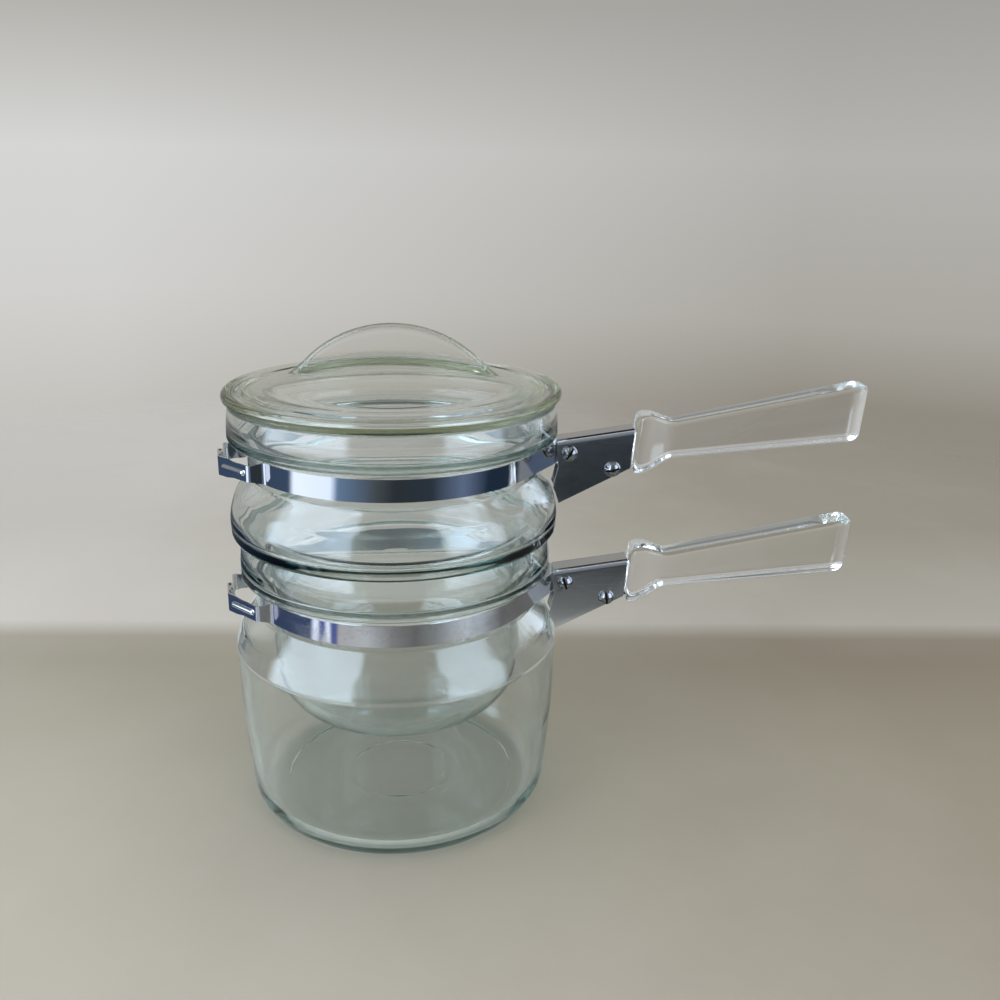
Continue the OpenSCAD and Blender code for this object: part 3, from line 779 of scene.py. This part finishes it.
def tongue_mesh(band_z):
    """The part of the grip that fills the bracket."""
    side = [
        (TONGUE_X, TONGUE_TOP),
        (TONGUE_END, TONGUE_TOP),
        (TONGUE_END, -9.6),
        (COLLAR_X - 5.4, -11.5),
        (TONGUE_X, -16.6),
    ]
    bm = bmesh.new()
    loop = [bm.verts.new(on_bracket(x, -TONGUE_W / 2, z, band_z)) for x, z in side]
    face = bm.faces.new(loop)
    out = bmesh.ops.extrude_face_region(bm, geom=[face])
    moved = [v for v in out["geom"] if isinstance(v, bmesh.types.BMVert)]
    bmesh.ops.translate(bm, verts=moved, vec=(0, TONGUE_W * MM, 0))
    bmesh.ops.recalc_face_normals(bm, faces=bm.faces)
    return bm


# Glass pieces
pot, insert = spun(pot_outline()), spun(insert_outline())
finish_piece("lower_pot", pot, POT_GLASS, "lower_pan", "lower_pot_glass")
finish_piece("insert_pot", insert, POT_GLASS, "upper_pan", "upper_insert_glass")
domed = creased(joined(spun(lid_outline()), fin_mesh()))
finish_piece("lid", domed, LID_GLASS, "lid", "lid_glass")
for tier, band_z in (("upper", UP_BAND_Z), ("lower", LOW_BAND_Z)):
    grip = creased(joined(grip_mesh(band_z), tongue_mesh(band_z)))
    finish_piece(tier + "_grip", grip, GRIP_GLASS, tier + "_pan", tier + "_grip_glass")


# Steel pieces
def softened(node, material, body, bevel=0.0):
    """A CAD piece with smooth curves and, where asked, its sharp edges broken."""
    bm = bmesh.new()
    bm.from_mesh(nodes[node].data)
    bmesh.ops.remove_doubles(bm, verts=bm.verts, dist=0.000002)
    bmesh.ops.recalc_face_normals(bm, faces=bm.faces)
    if bevel:
        coplanar = math.radians(0.5)
        bmesh.ops.dissolve_limit(bm, angle_limit=coplanar, verts=bm.verts, edges=bm.edges)
        bm.normal_update()
        inner = [e for e in bm.edges if len(e.link_faces) == 2]
        bmesh.ops.bevel(
            bm,
            geom=[e for e in inner if math.degrees(e.calc_face_angle(0)) > SHARP],
            affect="EDGES",
            offset=bevel * MM,
            segments=2,
            profile=0.5,
            material=-1,
            clamp_overlap=True,
        )
        bmesh.ops.triangulate(bm, faces=[f for f in bm.faces if len(f.verts) > 4])
    o = finish_piece(node + "_finish", creased(bm), material, body, node)
    even = o.modifiers.new("even_shading", "WEIGHTED_NORMAL")
    even.mode = "FACE_AREA"
    even.weight = 60
    even.keep_sharp = True
    return o


def mark_slot(o):
    """Marks the faces inside a screw's slot, where painted shade darkens the steel."""
    me = o.data
    top = min(v.co.y for v in me.vertices)
    head = [f for f in me.polygons if f.center.y < top + HEAD_DEPTH * MM]
    mid_x = (max(f.center.x for f in head) + min(f.center.x for f in head)) / 2
    mid_z = (max(f.center.z for f in head) + min(f.center.z for f in head)) / 2
    marks = me.attributes.new("painted_slot_shade", "FLOAT", "FACE")
    for f in head:
        near = math.hypot(f.center.x - mid_x, f.center.z - mid_z) < SLOT_REACH * MM
        wall = abs(f.normal.y) < 0.35
        bottom = abs(f.normal.y) > 0.95 and f.center.y > top + SLOT_DEPTH * MM
        marks.data[f.index].value = 1.0 if near and (wall or bottom) else 0.0


for tier, band in (("upper", BAND_UPPER), ("lower", BAND_LOWER)):
    body = tier + "_pan"
    softened(tier + "_band_front", band, body)
    softened(tier + "_band_rear", band, body)
    softened(tier + "_bracket", BRACKET, body, SHEET_EDGE)
    for part in ("clamp_screw", "clamp_nut", "grip_screw", "grip_nut"):
        o = softened(f"{tier}_{part}", SCREW, body, TURNED_EDGE)
        if part.endswith("screw"):
            mark_slot(o)

# Paper of the studio, in metres
PAPER_HALF = 1.2
PAPER_Z = -0.0002
PAPER_FRONT = (-0.22, -0.19)
PAPER_SIDE = (0.21, 0.23)

# Square of the distance over which the paper fades out
PAPER_FADE = (0.5, 1.1)

# Tones of the paper from front to back, at its left and at its right. Painted shade makes it darker to
# the right and darkest in a band across it, where the real sheet folded up into the wall
PAPER_TONES_AND_SHADE = (
    (0.0, (0.48, 0.46, 0.42), (0.30, 0.275, 0.23)),
    (0.2, (0.40, 0.385, 0.335), (0.26, 0.24, 0.19)),
    (0.33, (0.315, 0.30, 0.255), (0.215, 0.19, 0.145)),
    (0.365, (0.34, 0.32, 0.275), (0.225, 0.20, 0.16)),
    (0.39, (0.53, 0.52, 0.49), (0.37, 0.355, 0.32)),
    (0.6, (0.49, 0.48, 0.45), (0.29, 0.27, 0.225)),
    (1.0, (0.57, 0.565, 0.55), (0.30, 0.28, 0.24)),
)

# Backdrop that is seen directly and through glass, by height from 0 to 1, with painted shade that
# darkens its right side, most of all low down
BACKDROP_LEFT = (
    (0.1, (0.56, 0.55, 0.52)),
    (0.3, (0.64, 0.635, 0.62)),
    (0.55, (0.67, 0.67, 0.66)),
    (0.8, (0.44, 0.43, 0.40)),
)
BACKDROP_SHADED_RIGHT = (
    (0.1, (0.28, 0.26, 0.22)),
    (0.25, (0.40, 0.385, 0.35)),
    (0.55, (0.46, 0.45, 0.43)),
    (0.8, (0.37, 0.36, 0.34)),
)

# Lower part of the room that only mirrored rays see, by direction in degrees:
# 0 is towards the camera, negative to its left, 180 and -180 behind the object
ROOM_LOW = (
    (-180, (0.3, 0.29, 0.26)),
    (-165, (0.09, 0.10, 0.11)),
    (-108, (0.05, 0.08, 0.14)),
    (-82, (0.05, 0.085, 0.15)),
    (-77, (1.15, 1.28, 1.5)),
    (-45, (1.05, 1.2, 1.45)),
    (-39, (0.16, 0.25, 0.40)),
    (-10, (0.075, 0.09, 0.10)),
    (4, (0.03, 0.038, 0.045)),
    (32, (0.03, 0.045, 0.06)),
    (57, (0.14, 0.19, 0.30)),
    (80, (0.015, 0.03, 0.055)),
    (112, (0.02, 0.03, 0.05)),
    (117, (0.22, 0.24, 0.27)),
    (123, (0.22, 0.24, 0.27)),
    (127, (0.03, 0.035, 0.045)),
    (165, (0.05, 0.055, 0.065)),
    (180, (0.3, 0.29, 0.26)),
)

# The same near the ground, where the left window is narrower and shows its bars
SHADE = (0.045, 0.07, 0.15)
PANE = (0.95, 1.05, 1.25)
BAR = (0.1, 0.13, 0.36)
ROOM_GROUND = (
    (-180, SHADE),
    (-67, SHADE),
    (-65, PANE),
    (-60, PANE),
    (-59, BAR),
    (-54, BAR),
    (-53, PANE),
    (-50, PANE),
    (-49, BAR),
    (-44, BAR),
    (-43, (0.5, 0.5, 0.5)),
    (-20, (0.55, 0.58, 0.6)),
    (0, (0.26, 0.27, 0.27)),
    (18, (0.16, 0.165, 0.16)),
    (34, (0.25, 0.27, 0.27)),
    (60, (0.58, 0.64, 0.7)),
    (74, (0.52, 0.58, 0.64)),
    (95, (0.18, 0.18, 0.18)),
    (180, (0.1, 0.1, 0.1)),
)

# Where the ground turns into the lower part of the room, and that into the upper part
GROUND_ENDS = (-0.383, -0.374)
LOW_ENDS = (-0.235, -0.205)

# Upper part of the room, by height from 0 to 1, before and behind the object
ROOM_AHEAD = (
    (0.0, (0.19, 0.22, 0.26)),
    (0.3, (0.27, 0.30, 0.34)),
    (0.9, (0.40, 0.43, 0.47)),
    (0.94, (0.95, 0.97, 1.0)),
    (0.975, (0.95, 0.97, 1.0)),
    (0.99, (0.015, 0.018, 0.022)),
)
ROOM_BEHIND = (
    (0.0, (0.42, 0.41, 0.38)),
    (0.55, (0.42, 0.41, 0.38)),
    (0.64, (0.02, 0.022, 0.025)),
)

# Two windows of the room: from and to in degrees, the height of the top, and the colour
WINDOW_SILL = -0.17
WINDOWS = (
    (-93, -24, 0.8, (3.8, 4.6, 5.5)),
    (36, 85, 0.75, (3.0, 3.6, 4.3)),
)

# Light caught inside the glass, how much of it shows, and the light on everything else
CAUGHT_LIGHT = (0.45, 0.455, 0.44)
CAUGHT_SHARE = 0.25
TRAPPED_GAIN = 2.0
SOFT_LIGHT = (0.62, 0.61, 0.6)


# Studio
def paper():
    """Warm grey paper with painted shade. For reflections it ends where the real sheet did."""
    m, nt, p, out = new_material("studio_paper")
    t = nt.nodes.new("ShaderNodeTexCoord")
    s = nt.nodes.new("ShaderNodeSeparateXYZ")
    link(nt, t.outputs["Object"], s.inputs[0])
    x, y = s.outputs["X"], s.outputs["Y"]
    mottle = spread(nt, noise_of(nt, mapped(nt, (1, 1, 1)), 9, 4.0, 0.6), 0.3, 0.7, -0.08, 0.08)
    across = maths(nt, "ADD", spread(nt, x, -0.3, 0.3), mottle, True)
    depth = spread(nt, y, -0.2, 0.8)
    # Painted shade: the paper darkens from left to right and in the band of the fold
    left = toned(nt, depth, [(at, c) for at, c, _ in PAPER_TONES_AND_SHADE])
    right = toned(nt, depth, [(at, c) for at, _, c in PAPER_TONES_AND_SHADE])
    link(nt, mixed(nt, across, left, right), p.inputs["Base Color"])
    p.inputs["Roughness"].default_value = 0.85
    p.inputs["Specular IOR Level"].default_value = 0.2
    past_front = spread(nt, y, *PAPER_FRONT, 1.0, 0.0)
    past_side = spread(nt, maths(nt, "ABSOLUTE", x), *PAPER_SIDE)
    past = maths(nt, "MAXIMUM", past_front, past_side)
    past = maths(nt, "MULTIPLY", past, deeper(nt, "Glossy", 0.5))
    far = maths(nt, "ADD", maths(nt, "POWER", x, 2.0), maths(nt, "POWER", y, 2.0))
    hole = maths(nt, "MAXIMUM", spread(nt, far, *PAPER_FADE), past)
    opened(nt, p, out, hole, (1, 1, 1))
    return m


def studio_floor():
    """The sheet of paper under the object."""
    bm = bmesh.new()
    bmesh.ops.create_grid(bm, x_segments=2, y_segments=2, size=PAPER_HALF)
    bmesh.ops.translate(bm, verts=bm.verts, vec=(0, 0, PAPER_Z))
    o = placed("studio_floor", bm, paper())


def by_direction(tree, degrees, stops):
    """Colour ramp over directions from -180 to 180 degrees."""
    shares = [((at + 180) / 360, c) for at, c in stops]
    return toned(tree, spread(tree, degrees, -180, 180), shares)


def mirrored_room(nt, z, degrees):
    """What mirrored rays see: a dim room with two windows, and light caught inside the glass."""
    below = by_direction(nt, degrees, ROOM_LOW)
    ground = by_direction(nt, degrees, ROOM_GROUND)
    below = mixed(nt, spread(nt, z, *GROUND_ENDS), ground, below)
    behind = spread(nt, maths(nt, "ABSOLUTE", degrees), 105, 120)
    height = spread(nt, z, 0.0, 1.0)
    room = mixed(nt, behind, toned(nt, height, ROOM_AHEAD), toned(nt, height, ROOM_BEHIND))
    shine = mixed(nt, spread(nt, z, *LOW_ENDS), below, room)
    # Light caught inside the glass leaves it towards the paper
    inside = maths(nt, "MULTIPLY", deeper(nt, "Transmission", 1.5), CAUGHT_SHARE)
    trapped = maths(nt, "MULTIPLY", deeper(nt, "Glossy", 1.5), TRAPPED_GAIN)
    inside = maths(nt, "MULTIPLY", inside, maths(nt, "ADD", 1.0, trapped))
    shine = mixed(nt, inside, shine, CAUGHT_LIGHT)
    for start, end, top, colour in WINDOWS:
        across = between(nt, degrees, start, end, 5)
        upright = between(nt, z, WINDOW_SILL, top, 0.05)
        shine = mixed(nt, maths(nt, "MULTIPLY", across, upright), shine, colour)
    return shine


def studio_world():
    """Backdrop for what is seen directly or through glass, with painted shade on its right, and a dim
    room for reflections.
    """
    w = bpy.data.worlds.new("studio")
    w.use_nodes = True
    bpy.context.scene.world = w
    nt = w.node_tree
    back = nt.nodes["Background"]
    t = nt.nodes.new("ShaderNodeTexCoord")
    s = nt.nodes.new("ShaderNodeSeparateXYZ")
    link(nt, t.outputs["Generated"], s.inputs[0])
    x, y, z = s.outputs["X"], s.outputs["Y"], s.outputs["Z"]
    turn = maths(nt, "ARCTAN2", x, maths(nt, "MULTIPLY", y, -1.0))
    shine = mirrored_room(nt, z, maths(nt, "MULTIPLY", turn, 180 / math.pi))
    tall = spread(nt, z, -0.25, 0.25)
    # Painted shade: the backdrop darkens from left to right
    left, right = toned(nt, tall, BACKDROP_LEFT), toned(nt, tall, BACKDROP_SHADED_RIGHT)
    wall = mixed(nt, spread(nt, x, -0.35, 0.3), left, right)
    path = nt.nodes.new("ShaderNodeLightPath")
    seen = maths(nt, "MAXIMUM", path.outputs["Is Camera Ray"], path.outputs["Is Transmission Ray"])
    mirrored = deeper(nt, "Glossy", 0.5)
    seen = maths(nt, "MULTIPLY", seen, maths(nt, "SUBTRACT", 1.0, mirrored))
    soft = mixed(nt, mirrored, SOFT_LIGHT, shine)
    link(nt, mixed(nt, seen, soft, wall), back.inputs["Color"])
    back.inputs["Strength"].default_value = 1.0


def lamp(name, at, aim, size, power, colour):
    """A rectangular lamp that no reflection and no view through glass shows."""
    data = bpy.data.lights.new(name, "AREA")
    data.shape = "RECTANGLE"
    data.size, data.size_y = size
    data.energy = power
    data.color = colour
    o = bpy.data.objects.new(name, data)
    bpy.context.scene.collection.objects.link(o)
    o.location = at
    o.rotation_euler = (Vector(aim) - Vector(at)).to_track_quat("-Z", "Y").to_euler()
    o.visible_glossy = False
    o.visible_transmission = False


studio_floor()
studio_world()
lamp(
    "window_left",
    at=(-1.15, -1.05, 0.95),
    aim=(0, 0, 0.12),
    size=(0.75, 0.95),
    power=17,
    colour=(0.93, 0.97, 1.0),
)
lamp(
    "window_right",
    at=(0.95, -1.25, 1.0),
    aim=(0, 0, 0.12),
    size=(0.55, 0.85),
    power=9,
    colour=(0.96, 0.98, 1.0),
)
lamp(
    "ceiling",
    at=(0.1, 0.1, 1.7),
    aim=(0, 0, 0.1),
    size=(1.2, 1.2),
    power=8,
    colour=(1.0, 0.98, 0.95),
)

# Camera
scene = bpy.context.scene
cam_data = bpy.data.cameras.new("camera")
cam_data.sensor_width = 36
cam_data.lens = 35.6
cam_data.shift_y = -0.006
cam_data.clip_start = 0.01
cam = bpy.data.objects.new("camera", cam_data)
scene.collection.objects.link(cam)
heading, pitch, roll = math.radians(1.24), math.radians(17.61), math.radians(0.83)
level = math.cos(pitch)
ahead = Vector((math.sin(heading) * level, math.cos(heading) * level, -math.sin(pitch)))
tipped = Matrix.Rotation(roll, 3, "Z").to_quaternion()
cam.rotation_mode = "QUATERNION"
cam.rotation_quaternion = ahead.to_track_quat("-Z", "Y") @ tipped
cam.location = (0.0407, -0.4593, 0.3027)
scene.camera = cam

scene.view_settings.view_transform = "Standard"
scene.cycles.max_bounces = 28
scene.cycles.transmission_bounces = 24
scene.cycles.glossy_bounces = 20
scene.cycles.transparent_max_bounces = 24
